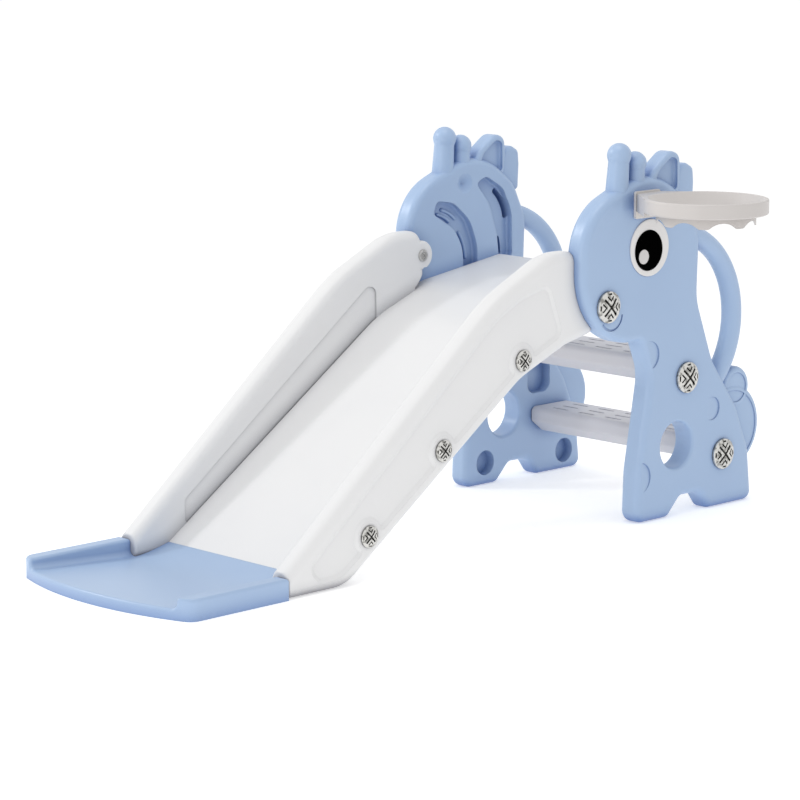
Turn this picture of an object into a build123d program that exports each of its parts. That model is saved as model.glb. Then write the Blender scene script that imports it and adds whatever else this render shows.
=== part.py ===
from build123d import *
import os
from math import acos, atan2, cos, degrees, hypot, radians, sin

# Toddler slide: two animal-shaped side panels carry a deck with a chute and two steps between them.
# Guard rails run down both sides of the chute to a landing tray, and a ball hoop lifts off its bracket.
# Millimetres, +Z up. X = 0 is the toe of the front feet, Y = 0 the plane of symmetry, Z = 0 the floor.
# The chute runs down towards -X, the hoop is on the -Y side ("left"), and the last step of the script
# moves all pieces together so that the origin lies under the middle of the whole slide.

# Fits
FACE_FIT = 0.3
SHANK_FIT = 0.4
SOCKET_FIT = 0.4

# Side panels: blow-moulded, one outline of (x, z, corner radius) points
PANEL_THICKNESS = 50
PANEL_OUTER_ROUND = 16
PANEL_INNER_ROUND = 14
PANEL_OUTLINE = [
    (-3, 0, 25),
    (1, 110, 200),
    (37, 312, 90),
    (6, 384, 12),
    (-175, 384, 156),
    (-175, 655, 130),
    (40, 743, 150),
    (150, 662, 80),
    (188, 585, 60),
    (184, 455, 120),
    (236, 322, 100),
    (318, 212, 100),
    (360, 115, 80),
    (373, 0, 20),
    (228, 0, 18),
    (198, 40, 25),
    (140, 40, 25),
    (100, 0, 18),
]
SPOT_HOLE = (120, 152)
SPOT_HOLE_DIAMETER = 99
SPOT_HOLE_ROUND = 7

# Grab handle behind the head: a round tube on one arc, seen from the side
HANDLE_CENTRE = (132, 406)
HANDLE_RADIUS = 187
HANDLE_DIAMETER = 43
HANDLE_TOP_ANGLE = 80
HANDLE_LOW_ANGLE = -48

# Two flat tail lobes on the back edge: (x, z, radius)
TAIL_LOBES = [(320, 249, 45), (308, 166, 91)]
TAIL_THICKNESS = 34
TAIL_ROUND = 11
TAIL_RIM = 13
TAIL_RIM_DEPTH = 2

# Horns: (ball x, ball z, ball radius, foot x)
HORNS = [(-44, 769, 25, -50), (4, 750, 24, 0)]
HORN_FOOT_Z = 690
HORN_FOOT_RADIUS = 24
HORN_NECK_RADIUS = 21
HORN_BLEND = 14

# Ears: a front one, dished on both faces, and a plain one behind it
FRONT_EAR = [(12, 690, 10), (42, 736, 60), (94, 772, 30), (122, 762, 20), (127, 735, 20), (122, 680, 10)]
FRONT_EAR_THICKNESS = 40
FRONT_EAR_ROUND = 9
EAR_DISH = [(40, 690, 8), (54, 730, 30), (95, 759, 18), (113, 751, 9), (114, 690, 8)]
EAR_DISH_DEPTH = 9
EAR_DISH_ROUND = 6
REAR_EAR = [(100, 660, 10), (122, 732, 20), (150, 742, 16), (172, 730, 14), (175, 700, 30), (172, 640, 10)]
REAR_EAR_THICKNESS = 30
REAR_EAR_ROUND = 9

# Hollows pressed into the inner face of a panel, as outlines of (x, z, corner radius) points
CREST_GROOVE = [
    (28, 668, 8),
    (58, 683, 24),
    (112, 652, 40),
    (139, 595, 60),
    (141, 495, 16),
    (100, 495, 16),
    (92, 556, 90),
    (68, 622, 60),
]
CHEEK_GROOVE = [
    (-102, 612, 12),
    (-92, 640, 14),
    (-40, 632, 60),
    (10, 590, 80),
    (32, 535, 80),
    (34, 480, 16),
    (-10, 480, 16),
    (-14, 535, 70),
    (-40, 576, 60),
]
GROOVE_DEPTH = 16
GROOVE_FLOOR_ROUND = 5
CREST_SLOTS = [[(100, 645), (121, 620), (132, 590)], [(109, 540), (112, 526), (113, 510)]]
CREST_SLOT_WIDTH = 13
CREST_SLOT_DEPTH = 34
FOOT_DIMPLES = [(60, 50), (313, 44)]
FOOT_DIMPLE_DIAMETER = 55
FOOT_DIMPLE_DEPTH = 22
FLANK_RECESS = (229, 222)
FLANK_RECESS_SIZE = 72
FLANK_RECESS_CORNER = 22
FLANK_RECESS_DEPTH = 24

# Shallow spots on the outer face, cut by a tilted disc so that each fades out: (x, z, radius, turn)
SPOTS = [(30, 352, 30, 270), (231, 216, 25, 270), (5, 97, 33, 240)]
SPOT_DEPTH = 2.8
SPOT_TILT = 4
MOUTH = [(-113, 431), (-87, 418), (-57, 446)]
MOUTH_WIDTH = 4
MOUTH_DEPTH = 2.5

# Big plastic bolts through the panels: deck, upper step, lower step
DECK_BOLT = (-101, 467)
UPPER_STEP_BOLT = (147, 293)
LOWER_STEP_BOLT = (267, 114)
PANEL_BOLT_HEAD = 65
PANEL_BOLT_RISE = 11
PANEL_BOLT_SHANK = 14
PANEL_BOLT_GRIP = 38

# Bolts that hold the rails to the chute
RAIL_BOLTS = [(-322, 380), (-545, 229), (-744, 90)]
RAIL_BOLT_HEAD = 43
RAIL_BOLT_RISE = 7
RAIL_BOLT_SHANK = 10
RAIL_BOLT_GRIP = 30
BOLT_SLOT_SHARE = 0.08
BOLT_SLOT_LENGTH_SHARE = 0.74
BOLT_SLOT_DEPTH_SHARE = 0.6
BOLT_CHEVRON_SHARE = 0.15
BOLT_CHEVRON_WIDTH_SHARE = 0.05
BOLT_CHEVRON_LENGTH_SHARE = 0.21
BOLT_NOTCH_SHARE = 0.16
BOLT_NOTCH_REACH_SHARE = 0.42

# Steps: one profile about the bolt axis, (x, z, corner radius)
STEP_PROFILE = [(-64, 44, 12), (-64, 12, 8), (-30, -14, 14), (28, -14, 16), (55, 8, 8), (55, 44, 10)]
STEP_END_ROUND = 6
STEP_TONGUE_INSET = 4
STEP_SOCKET_DEPTH = 12
GRIP_ROWS_X = [-40, -8, 24]
GRIP_COLUMNS = 5
GRIP_PITCH = 78
GRIP_LENGTH = 46
GRIP_WIDTH = 7
GRIP_DEPTH = 2

# Deck and chute: one moulding, side profile of (x, z, corner radius) points
BED_PROFILE = [
    (112, 511, 12),
    (-150, 472, 250),
    (-290, 418, 300),
    (-865, 25, 0),
    (-865, 8, 0),
    (-800, 8, 20),
    (-300, 361, 250),
    (-140, 426, 200),
    (112, 466, 10),
]
CHUTE_WIDTH = 400
DECK_FRONT_X = -180

# Guard rails: side outline of (x, z, corner radius) points, and the lug that screws to the panel
RAIL_THICKNESS = 50
RAIL_OUTER_ROUND = 20
RAIL_INNER_ROUND = 18
RAIL_END_ROUND = 6
RAIL_OUTLINE = [
    (-168, 584, 26),
    (-240, 585, 150),
    (-400, 510, 350),
    (-950, 50, 0),
    (-950, 0, 0),
    (-797, 0, 90),
    (-320, 341, 200),
    (-190, 394, 100),
    (-84, 417, 26),
    (-152, 505, 20),
    (-152, 558, 26),
]
RAIL_PANEL_FIT = 0.6
LUG_CENTRE = (-158, 532)
LUG_RADIUS = 31
LUG_ROUND = 6
LUG_DEPTH = 25
RAIL_END_CORNER = (-155, 506)
RAIL_END_BULGE = (-164, 484)
RAIL_END_FOOT_Z = 466
LUG_SCREW_HEAD = 25
LUG_SCREW_RISE = 5
LUG_SCREW_SHANK = 8
LUG_SCREW_GRIP = 30
RAIL_RECESS = [
    (-246, 527, 24),
    (-330, 508, 150),
    (-400, 472, 300),
    (-904, 50, 22),
    (-870, 18, 22),
    (-814, 21, 80),
    (-330, 365, 250),
    (-205, 420, 24),
]
RAIL_RECESS_DEPTH = 4
RAIL_RECESS_SLOPE = 8
RAIL_RECESS_LIP = 0.1
RAIL_BOSS_DIAMETER = 58
RAIL_BOSS_BLEND = 10
INNER_RECESS = [(-293, 406, 4), (-295, 478, 16), (-320, 481, 12), (-822, 104, 10), (-822, 52, 6)]
INNER_RECESS_DEPTH = 3

# Landing tray
TRAY_FRONT_X = -1233
TRAY_CORNER_X = -1186
TRAY_CORNER_ROUND = 26
TRAY_RIM_HEIGHT = 42
TRAY_RIM_WIDTH = 34
TRAY_RIM_ROUND = 6
TRAY_CREASE_ROUND = 12
TRAY_FLOOR = [(-865, 25), (-945, 6.5), (-1260, 25)]
TRAY_FLOOR_BEND = 300
TRAY_FLOOR_STEEPEST = 30
TRAY_FLANGE = 8
TRAY_FLANGE_LENGTH = 52
TRAY_FLANGE_WIDTH = 320
TRAY_SCREWS_Y = [-120, -40, 40, 120]
TRAY_SCREW_HEAD = 14
TRAY_SCREW_SINK = 4
TRAY_SCREW_SHANK = 5
TRAY_SCREW_GRIP = 12

# Eyes: white plate, pupil and glint as inlaid discs, (x, z, diameter, thickness, part sunk)
EYE_PLATE = (23, 577, 118, 4, 1.5)
EYE_PUPIL = (19, 572, 84, 2, 1)
EYE_GLINT = (3, 560, 30, 2, 1)

# Ball hoop and its bracket
HOOP_X = 11
HOOP_BRACKET_Z = 668
BRACKET_WIDTH = 74
BRACKET_HEIGHT = 56
BRACKET_THICKNESS = 6
BRACKET_CORNER = 4
TONGUE_NECK = 16
TONGUE_HEAD = 30
TONGUE_NECK_DEPTH = 6
TONGUE_HEAD_DEPTH = 8
TONGUE_LOW_Z = 659
TONGUE_TOP_Z = 685
ARM_WIDTH = 72
ARM_LOW_Z = 656
ARM_TOP_Z = 692
ARM_CORNER = 5
HOOP_REACH = 160
HOOP_DIAMETER = 250
HOOP_BAND = 8
HOOP_LEAN = 20
HOOP_BAND_HEIGHT = 30
HOOP_TOP_Z = 693
HOOP_BAND_ROUND = 3
SKIRT_WALL = 3
SKIRT_DROP = 22
SKIRT_WAVES = 8
SKIRT_WAVE_RADIUS = 40
SKIRT_WAVE_DEPTH = 12
SKIRT_WAVE_ROUND = 9
SKIRT_WAVE_TURN = 15
BRACKET_BOLT = (-7, 671)
BRACKET_BOLT_HEAD = 38
BRACKET_BOLT_SEAT = 45
BRACKET_BOLT_SEAT_DEPTH = 12
BRACKET_BOLT_RISE = 8
BRACKET_BOLT_SHANK = 10

# Planes that several pieces share
RAIL_IN = CHUTE_WIDTH / 2
RAIL_OUT = RAIL_IN + RAIL_THICKNESS
PANEL_GAP = CHUTE_WIDTH + 2 * LUG_DEPTH
PANEL_IN = PANEL_GAP / 2
PANEL_OUT = PANEL_IN + PANEL_THICKNESS
PANEL_MID = PANEL_IN + PANEL_THICKNESS / 2
ACROSS = Axis.Y


def side_face(corners):
    """Face in the X-Z plane whose corners are rounded one by one."""
    points = [(x, z) for x, z, _ in corners]
    rounds = [r for _, _, r in corners]
    return Plane.XZ * make_face(FilletPolyline(*points, radius=rounds, close=True))


def between(face, low_y, high_y):
    """Solid that a side face sweeps from one Y to another."""
    return extrude(Pos(0, high_y, 0) * face, amount=high_y - low_y, dir=(0, -1, 0))


def disc(x, z, diameter, low_y, high_y):
    """Round bar along Y."""
    return between(Pos(x, 0, z) * (Plane.XZ * Circle(diameter / 2)), low_y, high_y)


def block(x_range, y_range, z_range):
    """Box from its limits along X, Y and Z."""
    sizes = [high - low for low, high in (x_range, y_range, z_range)]
    centre = [(high + low) / 2 for low, high in (x_range, y_range, z_range)]
    return Pos(*centre) * Box(*sizes)


def round_rims(solid, low_round, high_round):
    """Rounds the rims of the two flat faces that face -Y and +Y."""
    solid = fillet(solid.edges().group_by(ACROSS)[0], low_round)
    return fillet(solid.edges().group_by(ACROSS)[-1], high_round)


def moved(face, x, z):
    """Side face moved in its own plane."""
    return Pos(x, 0, z) * face


def arc_slot(points, width):
    """Side face of a slot that follows an arc through three points."""
    return Plane.XZ * SlotArc(ThreePointArc(*points), width)


def on_left(solid):
    return solid


def on_right(solid):
    return mirror(solid, about=Plane.XZ)


# Steps


def step_tongue_face():
    """Smaller face of the end that goes into a socket."""
    return offset(side_face(STEP_PROFILE), amount=-STEP_TONGUE_INSET)


def step(bolt):
    """Tread between the panels, with grip dashes on top and a tongue at each end."""
    half = PANEL_IN - FACE_FIT
    solid = between(moved(side_face(STEP_PROFILE), *bolt), -half, half)
    solid = round_rims(solid, STEP_END_ROUND, STEP_END_ROUND)
    reach = PANEL_IN + STEP_SOCKET_DEPTH - FACE_FIT
    solid += between(moved(step_tongue_face(), *bolt), -reach, reach)
    x, z = bolt
    tread_z = z + max(top for _, top, _ in STEP_PROFILE)
    dash = extrude(SlotOverall(GRIP_LENGTH, GRIP_WIDTH, rotation=90), GRIP_DEPTH, both=True)
    for row in GRIP_ROWS_X:
        for column in range(GRIP_COLUMNS):
            y = (column - (GRIP_COLUMNS - 1) / 2) * GRIP_PITCH
            solid -= Pos(x + row, y, tread_z) * dash
    hole_end = PANEL_IN - PANEL_BOLT_GRIP
    for low, high in ((-reach, -hole_end + FACE_FIT), (hole_end - FACE_FIT, reach)):
        solid -= disc(*bolt, PANEL_BOLT_SHANK + SHANK_FIT, low, high)
    return solid


# Side panel, made for the left side


def handle():
    """Tube revolved about the arc's centre, both ends buried in the panel."""
    x, z = HANDLE_CENTRE
    start = radians(HANDLE_TOP_ANGLE)
    outward = (cos(start), 0, sin(start))
    centre = Vector(x, -PANEL_MID, z)
    first = centre + Vector(*outward) * HANDLE_RADIUS
    section = Plane(first, x_dir=outward, z_dir=(sin(start), 0, -cos(start)))
    ring = Axis(centre, (0, 1, 0))
    return revolve(section * Circle(HANDLE_DIAMETER / 2), ring, HANDLE_TOP_ANGLE - HANDLE_LOW_ANGLE)


def plate(face, thickness, rim_round):
    """Flat plate about the panel's middle plane, with rounded rims."""
    solid = between(face, -PANEL_MID - thickness / 2, -PANEL_MID + thickness / 2)
    return round_rims(solid, rim_round, rim_round)


def horn(ball_x, ball_z, ball_radius, foot_x):
    """Ball that flows into a tapered stem, turned about the stem's axis."""
    foot = Vector(foot_x, -PANEL_MID, HORN_FOOT_Z)
    ball = Vector(ball_x, -PANEL_MID, ball_z)
    length = (ball - foot).length
    stem = make_face(
        Polyline((0, 0), (HORN_FOOT_RADIUS, 0), (HORN_NECK_RADIUS, length), (0, length), close=True)
    )
    right_half = Pos(ball_radius, 0) * Rectangle(2 * ball_radius, 4 * ball_radius)
    half_ball = Pos(0, length) * (Circle(ball_radius) & right_half)
    section = stem + half_ball
    notch = [v for v in section.vertices() if HORN_NECK_RADIUS <= v.X < HORN_FOOT_RADIUS and v.Y > 0]
    section = fillet(notch, HORN_BLEND)
    upright = Plane(foot, x_dir=(0, 1, 0), z_dir=ball - foot)
    return upright * revolve(Plane.XZ * section, Axis.Z)


def spot_cutter(x, z, radius, turn):
    """Flat disc, tilted so that only one side of it bites into the outer face."""
    tilted = Pos(x, -PANEL_OUT, z) * Rot(0, turn, 0) * Rot(SPOT_TILT, 0, 0)
    lift = radius * sin(radians(SPOT_TILT)) - SPOT_DEPTH
    return tilted * (Pos(0, -lift, 0) * disc(0, 0, 2 * radius, -SPOT_DEPTH * 4, 0))


def inner_hollows():
    """Grooves, slots, dimples and recesses that stiffen the inner face."""
    face = -PANEL_IN
    cutters = []
    for groove in (CREST_GROOVE, CHEEK_GROOVE):
        cutter = between(side_face(groove), face - GROOVE_DEPTH, face)
        cutters.append(fillet(cutter.edges().group_by(ACROSS)[0], GROOVE_FLOOR_ROUND))
    for slot in CREST_SLOTS:
        cutters.append(between(arc_slot(slot, CREST_SLOT_WIDTH), face - CREST_SLOT_DEPTH, face))
    for x, z in FOOT_DIMPLES:
        cutters.append(disc(x, z, FOOT_DIMPLE_DIAMETER, face - FOOT_DIMPLE_DEPTH, face))
    square = Plane.XZ * RectangleRounded(FLANK_RECESS_SIZE, FLANK_RECESS_SIZE, FLANK_RECESS_CORNER)
    cutters.append(between(moved(square, *FLANK_RECESS), face - FLANK_RECESS_DEPTH, face))
    return cutters


def side_panel():
    body = between(side_face(PANEL_OUTLINE), -PANEL_OUT, -PANEL_IN)
    body = round_rims(body, PANEL_OUTER_ROUND, PANEL_INNER_ROUND)
    body -= disc(*SPOT_HOLE, SPOT_HOLE_DIAMETER, -PANEL_OUT, -PANEL_IN)
    circles = body.edges().filter_by(GeomType.CIRCLE)
    rims = circles.filter_by(lambda e: abs(e.radius - SPOT_HOLE_DIAMETER / 2) < 1e-6)
    body = fillet(rims, SPOT_HOLE_ROUND)
    body += handle()
    for x, z, radius in TAIL_LOBES:
        lobe = moved(Plane.XZ * Circle(radius), x, z)
        solid = plate(lobe, TAIL_THICKNESS, TAIL_ROUND)
        front = -PANEL_MID - TAIL_THICKNESS / 2
        solid -= disc(x, z, 2 * (radius - TAIL_RIM), front, front + TAIL_RIM_DEPTH)
        body += solid - disc(*SPOT_HOLE, SPOT_HOLE_DIAMETER, -PANEL_OUT, -PANEL_IN)
    for each in HORNS:
        body += horn(*each)
    body += plate(side_face(REAR_EAR), REAR_EAR_THICKNESS, REAR_EAR_ROUND)
    ear = plate(side_face(FRONT_EAR), FRONT_EAR_THICKNESS, FRONT_EAR_ROUND)
    half = FRONT_EAR_THICKNESS / 2
    dish = between(side_face(EAR_DISH), -half - PANEL_MID, -half - PANEL_MID + EAR_DISH_DEPTH)
    dish = fillet(dish.edges().group_by(ACROSS)[-1], EAR_DISH_ROUND)
    ear -= dish
    ear -= mirror(dish, about=Plane.XZ.offset(PANEL_MID))
    body += ear
    for cutter in inner_hollows():
        body -= cutter
    for bolt in (UPPER_STEP_BOLT, LOWER_STEP_BOLT):
        socket = offset(step_tongue_face(), amount=SOCKET_FIT)
        body -= between(moved(socket, *bolt), -PANEL_IN - STEP_SOCKET_DEPTH, -PANEL_IN)
    for bolt in (DECK_BOLT, UPPER_STEP_BOLT, LOWER_STEP_BOLT):
        body -= disc(*bolt, PANEL_BOLT_SHANK + SHANK_FIT, -PANEL_OUT, -PANEL_IN)
    body -= disc(*LUG_CENTRE, LUG_SCREW_SHANK + SHANK_FIT, -PANEL_IN - LUG_SCREW_GRIP - FACE_FIT, -PANEL_IN)
    body -= eye_seat(EYE_PLATE, -PANEL_OUT)
    for spot in SPOTS:
        body -= spot_cutter(*spot)
    return body - between(arc_slot(MOUTH, MOUTH_WIDTH), -PANEL_OUT, -PANEL_OUT + MOUTH_DEPTH)


def dimple():
    """Cone pressed into the inner face where the other panel has its bolt seat."""
    x, z = BRACKET_BOLT
    depth = BRACKET_BOLT_SEAT_DEPTH
    return Pos(x, -PANEL_IN - depth / 2, z) * Rot(90, 0, 0) * Cone(BRACKET_BOLT_SEAT / 2, 0, depth)


# Eyes, made for the left side


def eye_seat(eye, face_y):
    """Pocket for an inlaid disc in a face that looks towards -Y."""
    x, z, diameter, _, sunk = eye
    return disc(x, z, diameter + SHANK_FIT, face_y, face_y + sunk)


def eye_disc(eye, face_y, inlay=None):
    """Disc sunk a little into the face it is fixed to, with a seat for the next disc."""
    x, z, diameter, thickness, sunk = eye
    top = face_y + sunk - thickness
    solid = disc(x, z, diameter, top, face_y + sunk)
    solid = fillet(solid.edges().group_by(ACROSS)[0], (thickness - sunk) / 2)
    if inlay:
        solid -= eye_seat(inlay, top)
    return solid, top


# Bolts, made for the left side


def bolt(x, z, head, rise, shank, seat_y, length):
    """Low domed head with a cross and chevrons cut in it, on a face that looks towards -Y, and its shank."""
    rim = rise / 2
    profile = make_face(
        Polyline((0, 0), (head / 2, 0), (head / 2, rim)) + ThreePointArc(
            (head / 2, rim), (head / 4, rise - rim / 4), (0, rise)
        ) + Line((0, rise), (0, 0))
    )
    dome = revolve(profile, Axis.Y)
    depth = 2 * rise * BOLT_SLOT_DEPTH_SHARE
    slot = Box(head * BOLT_SLOT_LENGTH_SHARE, depth, head * BOLT_SLOT_SHARE)
    for turn in (45, 135):
        dome -= Pos(0, rise, 0) * Rot(0, turn, 0) * slot
    notch = Pos(head * BOLT_NOTCH_REACH_SHARE, rise, 0) * Box(
        head * BOLT_CHEVRON_WIDTH_SHARE, depth, head * BOLT_NOTCH_SHARE
    )
    aside = head * BOLT_CHEVRON_SHARE
    along = aside + head * (BOLT_CHEVRON_LENGTH_SHARE - BOLT_CHEVRON_WIDTH_SHARE) / 2
    leg = Box(head * BOLT_CHEVRON_LENGTH_SHARE, depth, head * BOLT_CHEVRON_WIDTH_SHARE)
    chevron = Pos(along, rise, aside) * leg + Pos(aside, rise, along) * Rot(0, 90, 0) * leg
    for turn in (0, 90, 180, 270):
        dome -= Rot(0, turn, 0) * notch
        dome -= Rot(0, turn + 45, 0) * chevron
    head_solid = Pos(x, seat_y, z) * Rot(180, 0, 0) * dome
    return head_solid + disc(x, z, shank, seat_y, seat_y + length)


def panel_bolts():
    length = PANEL_THICKNESS + PANEL_BOLT_GRIP
    sizes = (PANEL_BOLT_HEAD, PANEL_BOLT_RISE, PANEL_BOLT_SHANK, -PANEL_OUT, length)
    return [bolt(*at, *sizes) for at in (DECK_BOLT, UPPER_STEP_BOLT, LOWER_STEP_BOLT)]


def rail_bolts():
    sizes = (RAIL_BOLT_HEAD, RAIL_BOLT_RISE, RAIL_BOLT_SHANK, -RAIL_OUT, RAIL_THICKNESS + RAIL_BOLT_GRIP)
    return [bolt(*at, *sizes) for at in RAIL_BOLTS]


def lug_screw():
    """Screw from inside the rail's lug into the panel."""
    length = PANEL_IN - RAIL_IN + LUG_SCREW_GRIP
    x, z = LUG_CENTRE
    made = bolt(x, z, LUG_SCREW_HEAD, LUG_SCREW_RISE, LUG_SCREW_SHANK, -RAIL_IN, length)
    return mirror(made, about=Plane.XZ.offset(RAIL_IN))


# Chute with deck


def slide_bed():
    profile = side_face(BED_PROFILE)
    chute = between(profile, -RAIL_IN, RAIL_IN)
    deck = between(profile, -PANEL_IN, PANEL_IN)
    rear_x = max(x for x, _, _ in BED_PROFILE)
    tall = max(z for _, z, _ in BED_PROFILE)
    bed = chute + (deck & block((DECK_FRONT_X, rear_x), (-PANEL_IN, PANEL_IN), (0, tall)))
    for side in (-1, 1):
        for x, z in RAIL_BOLTS:
            limits = sorted((side * RAIL_IN, side * (RAIL_IN - RAIL_BOLT_GRIP - FACE_FIT)))
            bed -= disc(x, z, RAIL_BOLT_SHANK + SHANK_FIT, *limits)
        limits = sorted((side * PANEL_IN, side * (PANEL_IN - PANEL_BOLT_GRIP - FACE_FIT)))
        bed -= disc(*DECK_BOLT, PANEL_BOLT_SHANK + SHANK_FIT, *limits)
    for x, y in tray_screw_places():
        bed -= Pos(x, y, TRAY_FLANGE) * Cylinder(
            (TRAY_SCREW_SHANK + SHANK_FIT) / 2, 2 * (TRAY_SCREW_GRIP + FACE_FIT)
        )
    return bed


# Guard rail, made for the left side


def rail_body():
    """Rail with softly rounded rims along its length and a flat low end against the tray."""
    body = between(side_face(RAIL_OUTLINE), -RAIL_OUT, -RAIL_IN)
    for rim, rim_round in ((0, RAIL_OUTER_ROUND), (-1, RAIL_INNER_ROUND)):
        edges = body.edges().group_by(ACROSS)[rim]
        body = fillet(edges.sort_by(Axis.X)[1:], rim_round)
    return fillet(body.faces().sort_by(Axis.X)[0].edges(), RAIL_END_ROUND)


def rail_recess():
    """Shallow field with sloping sides on the outer face, which leaves a boss round each bolt."""
    field = side_face(RAIL_RECESS)
    boss_radius = RAIL_BOSS_DIAMETER / 2
    for at in RAIL_BOLTS:
        field -= moved(Plane.XZ * Circle(boss_radius), *at)
    for x, z in RAIL_BOLTS:
        boss = Vector(x, 0, z)
        corners = [v for v in field.vertices() if abs((v.center() - boss).length - boss_radius) < 1e-4]
        field = fillet(corners, RAIL_BOSS_BLEND)
    cutter = between(field, -RAIL_OUT, -RAIL_OUT + RAIL_RECESS_DEPTH)
    floor = cutter.faces().sort_by(ACROSS)[-1]
    return chamfer(floor.edges(), RAIL_RECESS_SLOPE, RAIL_RECESS_DEPTH - RAIL_RECESS_LIP, reference=floor)


def guard_rail():
    lug = disc(*LUG_CENTRE, 2 * LUG_RADIUS, -PANEL_IN + FACE_FIT, -RAIL_IN)
    rail = rail_body() + fillet(lug.edges().group_by(ACROSS)[-1], LUG_ROUND)
    envelope = between(offset(side_face(PANEL_OUTLINE), amount=RAIL_PANEL_FIT), -PANEL_OUT, -PANEL_IN)
    rail -= round_rims(envelope, PANEL_OUTER_ROUND, PANEL_INNER_ROUND)
    room_x = DECK_FRONT_X - FACE_FIT
    far_x = max(x for x, _, _ in RAIL_OUTLINE) + LUG_RADIUS
    corner_z = RAIL_END_CORNER[1]
    room = ThreePointArc((room_x, RAIL_END_FOOT_Z), RAIL_END_BULGE, RAIL_END_CORNER)
    room += Polyline(RAIL_END_CORNER, (far_x, corner_z), (far_x, 0), (room_x, 0), (room_x, RAIL_END_FOOT_Z))
    rail -= between(Plane.XZ * make_face(room), -PANEL_IN - FACE_FIT, -RAIL_IN)
    rail -= rail_recess()
    rail -= between(side_face(INNER_RECESS), -RAIL_IN - INNER_RECESS_DEPTH, -RAIL_IN)
    for at in RAIL_BOLTS:
        rail -= disc(*at, RAIL_BOLT_SHANK + SHANK_FIT, -RAIL_OUT, -RAIL_IN)
    return rail - disc(*LUG_CENTRE, LUG_SCREW_SHANK + SHANK_FIT, -PANEL_IN, -RAIL_IN)


# Landing tray


def tray_screw_places():
    end_x = TRAY_FLOOR[0][0]
    return [(end_x + TRAY_FLANGE_LENGTH / 2, y) for y in TRAY_SCREWS_Y]


def landing_tray():
    half = RAIL_OUT
    rail_end = min(x for x, _, _ in RAIL_OUTLINE) - FACE_FIT
    bed_end = TRAY_FLOOR[0][0]
    sides = Polyline((TRAY_CORNER_X, -half), (rail_end, -half), (rail_end, half), (TRAY_CORNER_X, half))
    front = ThreePointArc((TRAY_CORNER_X, half), (TRAY_FRONT_X, 0), (TRAY_CORNER_X, -half))
    plan = make_face(sides + front)
    plan = fillet(plan.vertices().group_by(Axis.X)[0], TRAY_CORNER_ROUND)
    tray = extrude(plan, TRAY_RIM_HEIGHT)
    tongue = RAIL_IN - FACE_FIT
    tray += block((rail_end, bed_end), (-tongue, tongue), (0, TRAY_FLOOR[0][1]))
    floor_line = FilletPolyline(*TRAY_FLOOR, radius=[TRAY_FLOOR_BEND])
    start, end = TRAY_FLOOR[0], TRAY_FLOOR[-1]
    sky = 2 * TRAY_RIM_HEIGHT
    above = Plane.XZ * make_face(floor_line + Polyline(end, (end[0], sky), (start[0], sky), start))
    inside = half - TRAY_RIM_WIDTH
    dish = between(above, -inside, inside)
    floor_faces = dish.faces().filter_by(lambda f: f.normal_at().Z < -cos(radians(TRAY_FLOOR_STEEPEST)))
    creases = [e for f in floor_faces for e in f.edges() if abs(abs(e.center().Y) - inside) < FACE_FIT]
    tray -= fillet(creases, TRAY_CREASE_ROUND)
    rim_tops = tray.faces().sort_by(Axis.Z)[-2:].edges()
    front_skin = tray.faces().filter_by(GeomType.CYLINDER).sort_by(Axis.X)[0]
    lip = [e for e in front_skin.edges() if e.center().Z > TRAY_RIM_HEIGHT / 2 + FACE_FIT]
    tray = fillet(list(rim_tops) + lip, TRAY_RIM_ROUND)
    wide = TRAY_FLANGE_WIDTH / 2
    tray += block((bed_end, bed_end + TRAY_FLANGE_LENGTH), (-wide, wide), (0, TRAY_FLANGE))
    for x, y in tray_screw_places():
        tray -= Pos(x, y, 0) * Cylinder((TRAY_SCREW_SHANK + SHANK_FIT) / 2, 4 * TRAY_FLANGE)
        tray -= Pos(x, y, 0) * Cylinder((TRAY_SCREW_HEAD + SHANK_FIT) / 2, 2 * TRAY_SCREW_SINK)
    return tray


def tray_screws():
    """Screws from below, heads sunk in the flange."""
    made = []
    length = TRAY_FLANGE - TRAY_SCREW_SINK + TRAY_SCREW_GRIP
    head = TRAY_SCREW_SINK / 2
    for x, y in tray_screw_places():
        shank = Pos(x, y, TRAY_SCREW_SINK + length / 2) * Cylinder(TRAY_SCREW_SHANK / 2, length)
        made.append(shank + Pos(x, y, TRAY_SCREW_SINK - head / 2) * Cylinder(TRAY_SCREW_HEAD / 2, head))
    return made


# Ball hoop


def hoop_bracket():
    """Screwed plate with a T-shaped tongue that the hoop's arm slides down over."""
    x = HOOP_X
    back = -PANEL_OUT
    front = back - BRACKET_THICKNESS
    face = Plane.XZ * RectangleRounded(BRACKET_WIDTH, BRACKET_HEIGHT, BRACKET_CORNER)
    bracket = between(moved(face, x, HOOP_BRACKET_Z), front, back)
    z_range = (TONGUE_LOW_Z, TONGUE_TOP_Z)
    neck_end = front - TONGUE_NECK_DEPTH
    bracket += block((x - TONGUE_NECK / 2, x + TONGUE_NECK / 2), (neck_end, front), z_range)
    head_end = neck_end - TONGUE_HEAD_DEPTH
    bracket += block((x - TONGUE_HEAD / 2, x + TONGUE_HEAD / 2), (head_end, neck_end), z_range)
    return bracket - disc(*BRACKET_BOLT, BRACKET_BOLT_SHANK + SHANK_FIT, front, back)


def arm_face(reach, radius):
    """Plan of the arm, from the bracket at +Y to the lines that touch the ring's circle."""
    corner = (ARM_WIDTH / 2, reach)
    far = hypot(*corner)
    turn = degrees(atan2(reach, ARM_WIDTH / 2)) - degrees(acos(radius / far))
    touch = (radius * cos(radians(turn)), radius * sin(radians(turn)))
    face = make_face(
        Polyline((0, 0), touch, corner, (-corner[0], corner[1]), (-touch[0], touch[1]), close=True)
    )
    return fillet(face.vertices().group_by(Axis.Y)[-1], ARM_CORNER)


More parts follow.
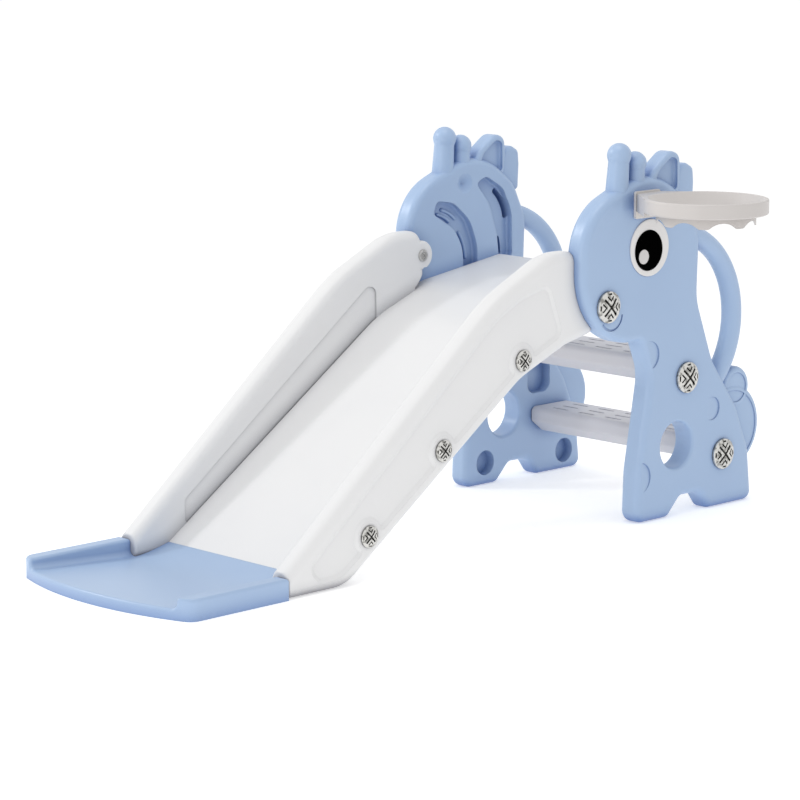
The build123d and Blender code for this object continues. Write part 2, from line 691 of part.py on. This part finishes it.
def hoop_ring():
    """Funnel band, wavy skirt and arm in one moulding, with a T slot open at the bottom."""
    x = HOOP_X
    centre_y = -PANEL_OUT - HOOP_REACH
    outer = HOOP_DIAMETER / 2
    inner = outer - HOOP_BAND - HOOP_LEAN
    foot = HOOP_TOP_Z - HOOP_BAND_HEIGHT
    section = [(inner, foot), (outer, foot), (outer, HOOP_TOP_Z), (outer - HOOP_BAND, HOOP_TOP_Z)]
    rounds = [0, HOOP_BAND_ROUND, HOOP_BAND_ROUND, HOOP_BAND_ROUND]
    ring_face = Plane.XZ * make_face(FilletPolyline(*section, radius=rounds, close=True))
    band = Pos(x, centre_y, 0) * revolve(ring_face, Axis.Z)
    plate_front = -PANEL_OUT - BRACKET_THICKNESS
    plan = arm_face(plate_front - FACE_FIT - centre_y, outer)
    arm = Pos(x, centre_y, ARM_LOW_Z) * extrude(plan, ARM_TOP_Z - ARM_LOW_Z)
    hoop = band + (arm - Pos(x, centre_y, HOOP_TOP_Z) * Cylinder(outer - HOOP_BAND / 2, 2 * HOOP_TOP_Z))
    skirt_outer = inner + SKIRT_WALL
    skirt = Pos(x, centre_y, foot - SKIRT_DROP / 2) * (
        Cylinder(skirt_outer, SKIRT_DROP) - Cylinder(inner, SKIRT_DROP)
    )
    wave = Pos(0, 0, foot - SKIRT_DROP - SKIRT_WAVE_RADIUS + SKIRT_WAVE_DEPTH) * Rot(0, 90, 0) * Cylinder(
        SKIRT_WAVE_RADIUS, outer, align=(Align.CENTER, Align.CENTER, Align.MIN)
    )
    for n in range(SKIRT_WAVES):
        skirt -= Pos(x, centre_y, 0) * Rot(0, 0, SKIRT_WAVE_TURN + 360 * n / SKIRT_WAVES) * wave
    tips = skirt.faces().group_by(Axis.Z)[0].edges().filter_by(GeomType.LINE)
    hoop += fillet(tips, SKIRT_WAVE_ROUND)
    neck = TONGUE_NECK / 2 + SOCKET_FIT
    head = TONGUE_HEAD / 2 + SOCKET_FIT
    neck_end = plate_front - TONGUE_NECK_DEPTH + SOCKET_FIT
    head_end = plate_front - TONGUE_NECK_DEPTH - TONGUE_HEAD_DEPTH - SOCKET_FIT
    slot_z = (ARM_LOW_Z - SKIRT_DROP, TONGUE_TOP_Z + FACE_FIT)
    hoop -= block((x - neck, x + neck), (neck_end, plate_front), slot_z)
    hoop -= block((x - head, x + head), (head_end, neck_end), slot_z)
    return hoop


def bracket_bolt():
    """Bolt from inside the panel that holds the bracket, its head in a round seat."""
    seat = PANEL_IN + BRACKET_BOLT_SEAT_DEPTH
    length = PANEL_OUT - seat + BRACKET_THICKNESS - FACE_FIT
    made = bolt(*BRACKET_BOLT, BRACKET_BOLT_HEAD, BRACKET_BOLT_RISE, BRACKET_BOLT_SHANK, -seat, length)
    return mirror(made, about=Plane.XZ.offset(seat))


# All pieces by name

panel = side_panel()
rail = guard_rail()
bolts_through_panel = panel_bolts()
bolts_through_rail = rail_bolts()
screw_through_lug = lug_screw()
eye_plate, plate_top = eye_disc(EYE_PLATE, -PANEL_OUT, EYE_PUPIL)
eye_pupil, pupil_top = eye_disc(EYE_PUPIL, plate_top, EYE_GLINT)
eye_glint, _ = eye_disc(EYE_GLINT, pupil_top)
seat_y = -PANEL_IN - BRACKET_BOLT_SEAT_DEPTH
bracket_hole = disc(*BRACKET_BOLT, BRACKET_BOLT_SHANK + SHANK_FIT, -PANEL_OUT, -PANEL_IN)
bracket_hole += disc(*BRACKET_BOLT, BRACKET_BOLT_SEAT, seat_y, -PANEL_IN)

pieces = {
    "left_side_panel": [panel - bracket_hole],
    "right_side_panel": [on_right(panel - dimple())],
    "slide_bed": [slide_bed()],
    "landing_tray": [landing_tray()],
    "landing_screws": tray_screws(),
    "lower_step": [step(LOWER_STEP_BOLT)],
    "upper_step": [step(UPPER_STEP_BOLT)],
    "hoop_bracket": [hoop_bracket()],
    "hoop_bracket_bolt": [bracket_bolt()],
    "hoop_ring": [hoop_ring()],
}
for side, place in (("left", on_left), ("right", on_right)):
    pieces[side + "_guard_rail"] = [place(rail)]
    pieces[side + "_eye_plate"] = [place(eye_plate)]
    pieces[side + "_eye_pupil"] = [place(eye_pupil)]
    pieces[side + "_eye_glint"] = [place(eye_glint)]
    pieces[side + "_panel_bolts"] = [place(each) for each in bolts_through_panel]
    pieces[side + "_rail_bolts"] = [place(each) for each in bolts_through_rail]
    pieces[side + "_lug_screw"] = [place(screw_through_lug)]

boxes = [each.bounding_box() for solids in pieces.values() for each in solids]
low = Vector(*(min(getattr(box.min, axis) for box in boxes) for axis in "XYZ"))
high = Vector(*(max(getattr(box.max, axis) for box in boxes) for axis in "XYZ"))
middle = (low + high) / 2
to_origin = Pos(-middle.X, -middle.Y, -low.Z)

os.makedirs("parts", exist_ok=True)
for name, solids in pieces.items():
    export_step(Compound(children=[to_origin * each for each in solids]), f"parts/{name}.step")
print("origin moved by", to_origin.position)
print("overall size", high - low)
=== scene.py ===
import math

import bmesh
import bpy
import numpy as np
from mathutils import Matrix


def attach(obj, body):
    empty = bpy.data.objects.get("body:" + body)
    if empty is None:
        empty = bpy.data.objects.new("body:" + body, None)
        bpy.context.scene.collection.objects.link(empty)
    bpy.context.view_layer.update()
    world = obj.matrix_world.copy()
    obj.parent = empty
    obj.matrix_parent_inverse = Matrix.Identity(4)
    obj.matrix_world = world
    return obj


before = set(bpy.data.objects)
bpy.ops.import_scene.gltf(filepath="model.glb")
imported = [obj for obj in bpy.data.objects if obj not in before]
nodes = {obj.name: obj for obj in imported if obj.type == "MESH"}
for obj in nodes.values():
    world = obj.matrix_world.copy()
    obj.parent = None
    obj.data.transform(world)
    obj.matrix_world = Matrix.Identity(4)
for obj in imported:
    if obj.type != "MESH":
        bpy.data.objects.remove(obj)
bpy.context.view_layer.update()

# Side panels
# Two blow-moulded polyethylene panels in the shape of a long-necked animal carry the whole slide.
# The plastic is dyed through and satin, with the fine orange-peel skin of the mould's grain. Painted shade
# darkens its creases, flats sag a little between corners, and a fine seam shows where the mould's halves met.

PANEL_BLUE = "#AAC2E1"
PANEL_BLUE_DEEP = "#A5BDDE"
# Painted shade: the blue that the creases of the panels and tray are darkened to
PANEL_BLUE_CREASE_SHADE = "#6583BA"
PANEL_ROUGHNESS = 0.36
PANEL_MIDDLE_MM = 250.0
SYMMETRY_PLANE_MM = 137.04
MOULD_FLOW_MM = 140.0
MOULD_FLOW_DETAIL = 3.0
# Coarser than such a grain really is, about a pixel wide, so that it shows
MOULD_GRAIN_MM = 2.2
MOULD_GRAIN_DEPTH_MM = 0.05
MOULD_GRAIN_STRENGTH = 0.6
MOULD_GRAIN_DETAIL = 2.0
MOULD_SAG_MM = 110.0
MOULD_SAG_DEPTH_MM = 0.35
MOULD_SAG_DETAIL = 1.0
PARTING_SEAM_HALF_WIDTH_MM = 1.4
PARTING_SEAM_HEIGHT_MM = 0.35
PARTING_SEAM_STRENGTH = 0.5
# Painted shade in creases: how far the occlusion pass looks, and the occlusion at which the shade is full and
# at which it ends
CREASE_SHADE_REACH_MM = 34.0
CREASE_SHADE_CLOSED = 0.2
CREASE_SHADE_OPEN = 0.95
OCCLUSION_SAMPLES = 8
EDGE_SOFTNESS_MM = 2.5
EDGE_SAMPLES = 6
ROUGHNESS_SPREAD = 0.05
POLYETHYLENE_IOR = 1.51
PLAIN_GLOSS = 0.5


def linear(colour):
    """Linear red, green, blue and alpha of an sRGB hex colour."""
    parts = np.array([int(colour[i:i + 2], 16) for i in (1, 3, 5)]) / 255
    low = parts / 12.92
    high = ((parts + 0.055) / 1.055) ** 2.4
    return (*np.where(parts <= 0.04045, low, high), 1.0)


def add_node(tree, kind, inputs=None, **settings):
    """Adds one node, sets its fields, and fills or links its inputs."""
    made = tree.nodes.new(kind)
    for field, value in settings.items():
        setattr(made, field, value)
    for key, value in (inputs or {}).items():
        if isinstance(value, bpy.types.NodeSocket):
            tree.links.new(value, made.inputs[key])
        else:
            made.inputs[key].default_value = value
    return made


def new_material(name):
    """Material with an empty node tree and its output node."""
    material = bpy.data.materials.new(name)
    material.use_nodes = True
    material.node_tree.nodes.clear()
    output = material.node_tree.nodes.new("ShaderNodeOutputMaterial")
    return material, material.node_tree, output


def moulded_plastic(name, colour, deep, crease_shade, roughness, grain_mm=MOULD_GRAIN_MM,
                    grain_depth_mm=MOULD_GRAIN_DEPTH_MM, gloss=PLAIN_GLOSS, seam_mm=None):
    """Moulded plastic: the colour drifts with the melt's flow and is darkened in creases by painted shade,
    the skin is grained and sags a little between its corners, and a fine seam runs where the halves of the
    mould met, seam_mm to each side of the plane of symmetry."""
    material, tree, output = new_material(name)
    place = add_node(tree, "ShaderNodeTexCoord").outputs["Object"]
    flow = add_node(
        tree, "ShaderNodeTexNoise",
        {"Vector": place, "Scale": 1000 / MOULD_FLOW_MM, "Detail": MOULD_FLOW_DETAIL},
    )
    tone = add_node(
        tree, "ShaderNodeMix",
        {0: flow.outputs["Fac"], 6: linear(colour), 7: linear(deep)}, data_type="RGBA",
    )
    # Painted shade: where the occlusion pass finds the surface hemmed in, the colour goes over to the crease
    # colour
    open_sky = add_node(
        tree, "ShaderNodeAmbientOcclusion",
        {"Distance": CREASE_SHADE_REACH_MM / 1000}, samples=OCCLUSION_SAMPLES,
    )
    shade_free = add_node(
        tree, "ShaderNodeMapRange",
        {"Value": open_sky.outputs["AO"], "From Min": CREASE_SHADE_CLOSED, "From Max": CREASE_SHADE_OPEN},
    )
    crease_shaded = add_node(
        tree, "ShaderNodeMix",
        {0: shade_free.outputs["Result"], 6: linear(crease_shade), 7: tone.outputs[2]}, data_type="RGBA",
    )
    grain = add_node(
        tree, "ShaderNodeTexNoise",
        {"Vector": place, "Scale": 1000 / grain_mm, "Detail": MOULD_GRAIN_DETAIL},
    )
    sheen = add_node(
        tree, "ShaderNodeMapRange",
        {"Value": grain.outputs["Fac"],
         "To Min": roughness - ROUGHNESS_SPREAD, "To Max": roughness + ROUGHNESS_SPREAD},
    )
    corner = add_node(tree, "ShaderNodeBevel", {"Radius": EDGE_SOFTNESS_MM / 1000}, samples=EDGE_SAMPLES)
    sag = add_node(
        tree, "ShaderNodeTexNoise",
        {"Vector": place, "Scale": 1000 / MOULD_SAG_MM, "Detail": MOULD_SAG_DETAIL},
    )
    shape = add_node(
        tree, "ShaderNodeBump",
        {"Height": sag.outputs["Fac"], "Normal": corner.outputs["Normal"],
         "Distance": MOULD_SAG_DEPTH_MM / 1000},
    )
    if seam_mm:
        across = add_node(tree, "ShaderNodeSeparateXYZ", {"Vector": place})
        side = add_node(
            tree, "ShaderNodeMath",
            {0: across.outputs["Y"], 1: SYMMETRY_PLANE_MM / 1000}, operation="SUBTRACT",
        )
        reach = add_node(tree, "ShaderNodeMath", {0: side.outputs["Value"]}, operation="ABSOLUTE")
        ridge = add_node(
            tree, "ShaderNodeMath",
            {0: reach.outputs["Value"], 1: seam_mm / 1000, 2: PARTING_SEAM_HALF_WIDTH_MM / 1000},
            operation="COMPARE",
        )
        shape = add_node(
            tree, "ShaderNodeBump",
            {"Height": ridge.outputs["Value"], "Normal": shape.outputs["Normal"],
             "Strength": PARTING_SEAM_STRENGTH, "Distance": PARTING_SEAM_HEIGHT_MM / 1000},
        )
    bump = add_node(
        tree, "ShaderNodeBump",
        {"Height": grain.outputs["Fac"], "Normal": shape.outputs["Normal"],
         "Strength": MOULD_GRAIN_STRENGTH, "Distance": grain_depth_mm / 1000},
    )
    skin = add_node(
        tree, "ShaderNodeBsdfPrincipled",
        {"Base Color": crease_shaded.outputs[2], "Roughness": sheen.outputs["Result"],
         "Normal": bump.outputs["Normal"], "IOR": POLYETHYLENE_IOR, "Specular IOR Level": gloss},
    )
    tree.links.new(skin.outputs["BSDF"], output.inputs["Surface"])
    return material


def dress(material, *names):
    """Gives CAD nodes their finish."""
    for name in names:
        nodes[name].data.materials.clear()
        nodes[name].data.materials.append(material)


blue_polyethylene = moulded_plastic(
    "blue_blow_moulded_polyethylene", PANEL_BLUE, PANEL_BLUE_DEEP, PANEL_BLUE_CREASE_SHADE, PANEL_ROUGHNESS,
    seam_mm=PANEL_MIDDLE_MM,
)
dress(blue_polyethylene, "left_side_panel", "right_side_panel")

# Cheek ribs
# Three low ribs on the floor of the groove behind each cheek, moulded with the panel's inner skin.
# They stiffen the wide flat floor, and their ends run out round.

# Start, middle and end of each rib as X and Z
CHEEK_RIBS_MM = (
    ((349, 618), (376, 608), (395, 593)),
    ((335, 609), (357, 602), (377, 588)),
    ((403, 567), (418, 541), (426, 505)),
)
RIB_WIDTH_MM = 8.0
RIB_HEIGHT_MM = 5.0
RIB_ROOT_MM = 0.6
GROOVE_FLOOR_MM = 241.0
RIB_RINGS = 40
RIB_SIDES = 24


def groove_rib(name, through, side):
    """Low rib on a groove's floor. Along: the circle through three points, from the first to the last.
    Across: a half ellipse above the floor and a shallow root under it. Near each end the section shrinks
    as a quarter circle of half the rib's width, down to one point. Side is the sign of the panel's place
    in Y."""
    points = np.array(through, dtype=float)
    squares = (points ** 2).sum(axis=1)
    centre = np.linalg.solve(2 * (points[1:] - points[0]), squares[1:] - squares[0])
    arms = points - centre
    radius = np.hypot(*arms[0])
    turns = np.unwrap(np.arctan2(arms[:, 1], arms[:, 0]))
    along = (1 - np.cos(np.pi * np.arange(1, RIB_RINGS) / RIB_RINGS)) / 2
    to_end = np.minimum(along, 1 - along) * radius * abs(turns[-1] - turns[0]) / (RIB_WIDTH_MM / 2)
    shrink = np.sqrt(1 - (1 - np.minimum(to_end, 1)) ** 2)[:, None]
    around = 2 * np.pi * np.arange(RIB_SIDES) / RIB_SIDES
    reach = radius + RIB_WIDTH_MM / 2 * shrink * np.cos(around)
    rise = np.where(np.sin(around) > 0, RIB_HEIGHT_MM, RIB_ROOT_MM) * shrink * np.sin(around)
    turn = (turns[0] + along * (turns[-1] - turns[0]))[:, None]
    x = centre[0] + reach * np.cos(turn)
    y = side * (GROOVE_FLOOR_MM - rise)
    z = centre[1] + reach * np.sin(turn)
    tips = np.insert(points[[0, -1]], 1, side * GROOVE_FLOOR_MM, axis=1)
    vertices = np.concatenate([np.stack([x, y, z], axis=-1).reshape(-1, 3), tips])
    vertices += (0, SYMMETRY_PLANE_MM, 0)
    grid = np.arange(x.size).reshape(-1, RIB_SIDES)
    beside = np.roll(grid, -1, axis=1)
    skin = np.stack([grid[:-1], grid[1:], beside[1:], beside[:-1]], axis=-1).reshape(-1, 4)
    first_tip = np.stack([np.full(RIB_SIDES, grid.size), grid[0], beside[0]], axis=-1)
    last_tip = np.stack([np.full(RIB_SIDES, grid.size + 1), beside[-1], grid[-1]], axis=-1)
    faces = [*skin.tolist(), *first_tip.tolist(), *last_tip.tolist()]
    mesh = bpy.data.meshes.new(name)
    mesh.from_pydata((vertices / 1000).tolist(), [], faces)
    shell = bmesh.new()
    shell.from_mesh(mesh)
    bmesh.ops.recalc_face_normals(shell, faces=shell.faces)
    shell.to_mesh(mesh)
    shell.free()
    mesh.shade_smooth()
    mesh.materials.append(blue_polyethylene)
    made = bpy.data.objects.new(name, mesh)
    bpy.context.collection.objects.link(made)
    return made


for panel_name, panel_side in (("left", -1), ("right", 1)):
    for number, through in enumerate(CHEEK_RIBS_MM, 1):
        rib = groove_rib(f"{panel_name}_cheek_rib_{number}", through, panel_side)
        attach(rib, "slide")

# Eyes
# Each eye is three printed vinyl discs let into the panel: a white plate, a black pupil and a pale glint.
# The ink is even to the eye and slightly cloudy close up, with painted shade round the rims, and the pupil is
# dead matt.

# Ink, its cloudier tone, its painted shade in the crease at the rim, and its gloss
EYE_INKS = {
    "plate": ("#EBE9E8", "#E8E6E5", "#C9CCD4", PLAIN_GLOSS),
    "pupil": ("#020202", "#040404", "#010101", 0.0),
    "glint": ("#DAD7D6", "#D6D3D2", "#B9B6B5", PLAIN_GLOSS),
}
VINYL_ROUGHNESS = 0.4
VINYL_GRAIN_MM = 6.0
VINYL_GRAIN_DEPTH_MM = 0.02

for part, (ink, ink_deep, ink_crease_shade, gloss) in EYE_INKS.items():
    vinyl = moulded_plastic(
        "printed_vinyl_" + part, ink, ink_deep, ink_crease_shade,
        VINYL_ROUGHNESS, VINYL_GRAIN_MM, VINYL_GRAIN_DEPTH_MM, gloss,
    )
    dress(vinyl, "left_eye_" + part, "right_eye_" + part)

# Deck, chute and guard rails
# The deck and chute are one double-walled moulding of white polyethylene, and the rails bolt to its sides.
# The white is satin, slightly grey. The rails have a seam round their middle and painted shade at field
# edges.

CHUTE_WHITE = "#EDEDED"
CHUTE_WHITE_DEEP = "#E9E9EA"
# Painted shade in the chute's creases
CHUTE_WHITE_CREASE_SHADE = "#D6D6D8"
CHUTE_ROUGHNESS = 0.42
# A darker painted shade for the rails' creases and field edges
RAIL_WHITE_CREASE_SHADE = "#94949A"
RAIL_MIDDLE_MM = 225.0

chute_polyethylene = moulded_plastic(
    "white_blow_moulded_polyethylene", CHUTE_WHITE, CHUTE_WHITE_DEEP, CHUTE_WHITE_CREASE_SHADE, CHUTE_ROUGHNESS
)
dress(chute_polyethylene, "slide_bed")
rail_polyethylene = moulded_plastic(
    "white_seamed_polyethylene", CHUTE_WHITE, CHUTE_WHITE_DEEP, RAIL_WHITE_CREASE_SHADE, CHUTE_ROUGHNESS,
    seam_mm=RAIL_MIDDLE_MM,
)
dress(rail_polyethylene, "left_guard_rail", "right_guard_rail")

# Landing tray
# A shallow moulding at the foot of the chute, with a low rim along each side, screwed under the chute.
# It is the panels' blue polyethylene, but one skin without a seam.

tray_polyethylene = moulded_plastic(
    "blue_pressed_polyethylene", PANEL_BLUE, PANEL_BLUE_DEEP, PANEL_BLUE_CREASE_SHADE, PANEL_ROUGHNESS
)
dress(tray_polyethylene, "landing_tray")

# Steps
# Two hollow treads of pale grey polyethylene, held in sockets of the panels by the big bolts.
# They are a little duller than the chute, and their pressed grip dashes gather shade.

STEP_GREY = "#D9D8DC"
STEP_GREY_DEEP = "#D3D2D7"
# Painted shade in the steps' creases and grip dashes
STEP_GREY_CREASE_SHADE = "#C2C1C7"
STEP_ROUGHNESS = 0.45

grey_polyethylene = moulded_plastic(
    "grey_blow_moulded_polyethylene", STEP_GREY, STEP_GREY_DEEP, STEP_GREY_CREASE_SHADE, STEP_ROUGHNESS
)
dress(grey_polyethylene, "lower_step", "upper_step")

# Bolts and screws
# The big bolts are injection-moulded polypropylene under a silver lacquer, which is bright on the dome,
# patchy with handling and darkened by painted shade in the crossed slots. The screws are plain white or grey
# polypropylene.

BOLT_SILVER = "#D6D5D1"
BOLT_TARNISH = "#8E8D89"
BOLT_SHADOW = "#1E1D1B"
BOLT_ROUGHNESS = 0.28
BOLT_METALLIC = 0.7
# Painted shade in the slots: how far the occlusion pass looks, and the occlusion at which it is full and at
# which it ends
BOLT_RECESS_MM = 6.0
BOLT_RECESS_CLOSED = 0.45
BOLT_RECESS_OPEN = 0.85
BOLT_TARNISH_MM = 9.0
BOLT_TARNISH_START = 0.46
BOLT_TARNISH_FULL = 0.64
BOLT_EDGE_MM = 0.8
# Far coarser than the flakes of real lacquer, which wouldn't show
BOLT_FLAKE_MM = 1.2
BOLT_FLAKE_DEPTH_MM = 0.03
BOLT_FLAKE_STRENGTH = 0.4
BOLT_NOISE_DETAIL = 2.0
SCREW_WHITE = "#E0E0E0"
SCREW_GREY = "#CAC9C7"
# Painted shade in the grey screws' creases
SCREW_GREY_CREASE_SHADE = "#A5A4A2"
SCREW_ROUGHNESS = 0.35
SCREW_GRAIN_MM = 1.2
SCREW_GRAIN_DEPTH_MM = 0.03


def silver_lacquer(name):
    """Silver lacquer on plastic: bright on the dome, dull in patches, and darkened by painted shade in the
    slots.
    """
    material, tree, output = new_material(name)
    place = add_node(tree, "ShaderNodeTexCoord").outputs["Object"]
    # Painted shade: where the occlusion pass finds the slots hemmed in, the lacquer goes over to the shadow
    # colour
    open_sky = add_node(
        tree, "ShaderNodeAmbientOcclusion",
        {"Distance": BOLT_RECESS_MM / 1000}, samples=OCCLUSION_SAMPLES,
    )
    slot_shade_free = add_node(
        tree, "ShaderNodeMapRange",
        {"Value": open_sky.outputs["AO"], "From Min": BOLT_RECESS_CLOSED, "From Max": BOLT_RECESS_OPEN},
    )
    patches = add_node(
        tree, "ShaderNodeTexNoise",
        {"Vector": place, "Scale": 1000 / BOLT_TARNISH_MM, "Detail": BOLT_NOISE_DETAIL},
    )
    dull = add_node(
        tree, "ShaderNodeMapRange",
        {"Value": patches.outputs["Fac"], "From Min": BOLT_TARNISH_START, "From Max": BOLT_TARNISH_FULL},
    )
    silver = add_node(
        tree, "ShaderNodeMix",
        {0: dull.outputs["Result"], 6: linear(BOLT_SILVER), 7: linear(BOLT_TARNISH)}, data_type="RGBA",
    )
    tone = add_node(
        tree, "ShaderNodeMix",
        {0: slot_shade_free.outputs["Result"], 6: linear(BOLT_SHADOW), 7: silver.outputs[2]}, data_type="RGBA",
    )
    flake = add_node(
        tree, "ShaderNodeTexNoise",
        {"Vector": place, "Scale": 1000 / BOLT_FLAKE_MM, "Detail": BOLT_NOISE_DETAIL},
    )
    corner = add_node(tree, "ShaderNodeBevel", {"Radius": BOLT_EDGE_MM / 1000}, samples=EDGE_SAMPLES)
    bump = add_node(
        tree, "ShaderNodeBump",
        {"Height": flake.outputs["Fac"], "Normal": corner.outputs["Normal"],
         "Strength": BOLT_FLAKE_STRENGTH, "Distance": BOLT_FLAKE_DEPTH_MM / 1000},
    )
    skin = add_node(
        tree, "ShaderNodeBsdfPrincipled",
        {"Base Color": tone.outputs[2], "Metallic": BOLT_METALLIC, "Roughness": BOLT_ROUGHNESS,
         "Normal": bump.outputs["Normal"]},
    )
    tree.links.new(skin.outputs["BSDF"], output.inputs["Surface"])
    return material


dress(
    silver_lacquer("silver_lacquer_on_polypropylene"),
    "left_panel_bolts", "right_panel_bolts", "left_rail_bolts", "right_rail_bolts",
)
# The white screws' creases are darkened to the bolts' silver as painted shade
white_polypropylene = moulded_plastic(
    "white_polypropylene", SCREW_WHITE, SCREW_WHITE, BOLT_SILVER,
    SCREW_ROUGHNESS, SCREW_GRAIN_MM, SCREW_GRAIN_DEPTH_MM,
)
dress(white_polypropylene, "landing_screws", "hoop_bracket_bolt")
grey_polypropylene = moulded_plastic(
    "grey_polypropylene", SCREW_GREY, SCREW_GREY, SCREW_GREY_CREASE_SHADE,
    SCREW_ROUGHNESS, SCREW_GRAIN_MM, SCREW_GRAIN_DEPTH_MM,
)
dress(grey_polypropylene, "left_lug_screw", "right_lug_screw")

# Ball hoop
# A warm grey polypropylene ring with a wavy skirt, and an arm that slides down over the tongue of a bracket.
# The bracket is bolted through the panel, and its plastic, the ring's, is painted paler as painted light.
# Both are injection moulded, with a finer skin than the blow-moulded panels.

HOOP_GREY = "#D4CFCC"
HOOP_GREY_DEEP = "#CFCAC7"
# Painted shade in the ring's creases
HOOP_GREY_CREASE_SHADE = "#B3AEAB"
# Painted light: the ring's plastic, given a paler colour where the bracket faces the light, with painted
# shade in its creases
BRACKET_LIT_GREY = "#EAE6E3"
BRACKET_CREASE_SHADE = "#C9C5C2"
HOOP_ROUGHNESS = 0.4
HOOP_GRAIN_MM = 1.5
HOOP_GRAIN_DEPTH_MM = 0.03

ring_polypropylene = moulded_plastic(
    "warm_grey_polypropylene", HOOP_GREY, HOOP_GREY_DEEP, HOOP_GREY_CREASE_SHADE,
    HOOP_ROUGHNESS, HOOP_GRAIN_MM, HOOP_GRAIN_DEPTH_MM,
)
dress(ring_polypropylene, "hoop_ring")
bracket_polypropylene = moulded_plastic(
    "hoop_grey_painted_lighter", BRACKET_LIT_GREY, BRACKET_LIT_GREY, BRACKET_CREASE_SHADE,
    HOOP_ROUGHNESS, HOOP_GRAIN_MM, HOOP_GRAIN_DEPTH_MM,
)
dress(bracket_polypropylene, "hoop_bracket")

# Studio floor and sky
# A floor of pale matt paper that runs out of sight under an even white sky. Seen directly or in a gloss,
# both are white. The floor keeps the slide's shadow and throws some light up from below.

FLOOR_WHITE = "#F4F4F4"
FLOOR_HALF_SIDE = 30.0
FLOOR_LIFT = 0.42
FLOOR_GLOW = 0.34
SKY_LEVEL = 0.66
SKY_SEEN = 1.0
WHITE = (1, 1, 1, 1)

corners = FLOOR_HALF_SIDE * np.array([(-1, -1, 0), (1, -1, 0), (1, 1, 0), (-1, 1, 0)])
floor_mesh = bpy.data.meshes.new("studio_floor")
floor_mesh.from_pydata(corners.tolist(), [], [(0, 1, 2, 3)])
studio_floor = bpy.data.objects.new("studio_floor", floor_mesh)
bpy.context.collection.objects.link(studio_floor)


def seen_or_not(tree, unseen, seen):
    """Level that is one number for rays of the camera or of a gloss, and another for all other rays."""
    rays = add_node(tree, "ShaderNodeLightPath")
    direct = add_node(
        tree, "ShaderNodeMath",
        {0: rays.outputs["Is Camera Ray"], 1: rays.outputs["Is Glossy Ray"]}, operation="MAXIMUM",
    )
    level = add_node(
        tree, "ShaderNodeMapRange", {"Value": direct.outputs["Value"], "To Min": unseen, "To Max": seen}
    )
    return level.outputs["Result"]


backdrop_paper, paper_tree, paper_output = new_material("matt_backdrop_paper")
matt = add_node(paper_tree, "ShaderNodeBsdfDiffuse", {"Color": linear(FLOOR_WHITE)})
lift = seen_or_not(paper_tree, FLOOR_GLOW, FLOOR_LIFT)
glow = add_node(paper_tree, "ShaderNodeEmission", {"Color": WHITE, "Strength": lift})
paper = add_node(paper_tree, "ShaderNodeAddShader", {0: matt.outputs["BSDF"], 1: glow.outputs["Emission"]})
paper_tree.links.new(paper.outputs["Shader"], paper_output.inputs["Surface"])
floor_mesh.materials.append(backdrop_paper)

world = bpy.data.worlds.new("studio_sky")
world.use_nodes = True
world.node_tree.nodes.clear()
sky_level = seen_or_not(world.node_tree, SKY_LEVEL, SKY_SEEN)
sky = add_node(world.node_tree, "ShaderNodeBackground", {"Color": WHITE, "Strength": sky_level})
add_node(world.node_tree, "ShaderNodeOutputWorld", {"Surface": sky.outputs["Background"]})
bpy.context.scene.world = world

# Studio lamps
# Three square soft boxes: a small key on the far side, whose light draws the far rail's shadow on the chute,
# a wide one overhead that reaches deck and steps, and a weak one in front of the chute.

# Place and aim in metres, side in metres, power in watts
SOFT_BOXES = {
    "key_box": ((-2.2, 3.2, 2.9), (-0.2, 0, 0.3), 0.6, 42),
    "top_box": ((-0.1, -0.2, 3.9), (-0.1, 0, 0.3), 2.0, 28),
    "fill_box": ((-4.8, -1.2, 0.9), (0, 0, 0.3), 1.5, 20),
}

for name, (place, aim, side, power) in SOFT_BOXES.items():
    lamp = bpy.data.lights.new(name, "AREA")
    lamp.size = side
    lamp.energy = power
    soft_box = bpy.data.objects.new(name, lamp)
    bpy.context.collection.objects.link(soft_box)
    away = np.array(place) - np.array(aim)
    tilt = math.atan2(math.hypot(away[0], away[1]), away[2])
    soft_box.location = place
    soft_box.rotation_euler = (tilt, 0, math.atan2(away[1], away[0]) + math.pi / 2)

# Camera
# It stands where the photograph was taken from, a little above the slide and in front of its near side.
# Its place, its angles and its focal length in pixels were fitted to the picture together.

CAMERA_PLACE = (-4.24768, -4.23822, 1.39340)
CAMERA_AZIMUTH = 44.136
CAMERA_ELEVATION = 10.344
CAMERA_REACH = 200
CAMERA_FOCUS_PX = 3060.17
PHOTO_SIDE_PX = 800
SENSOR_MM = 36.0

camera = bpy.data.objects.new("photo_camera", bpy.data.cameras.new("photo_camera"))
bpy.context.collection.objects.link(camera)
camera.location = CAMERA_PLACE
camera.rotation_euler = (math.radians(90 - CAMERA_ELEVATION), 0, math.radians(-CAMERA_AZIMUTH))
camera.data.sensor_width = SENSOR_MM
camera.data.lens = CAMERA_FOCUS_PX / PHOTO_SIDE_PX * SENSOR_MM
camera.data.clip_end = CAMERA_REACH
bpy.context.scene.camera = camera
bpy.context.scene.view_settings.view_transform = "Standard"
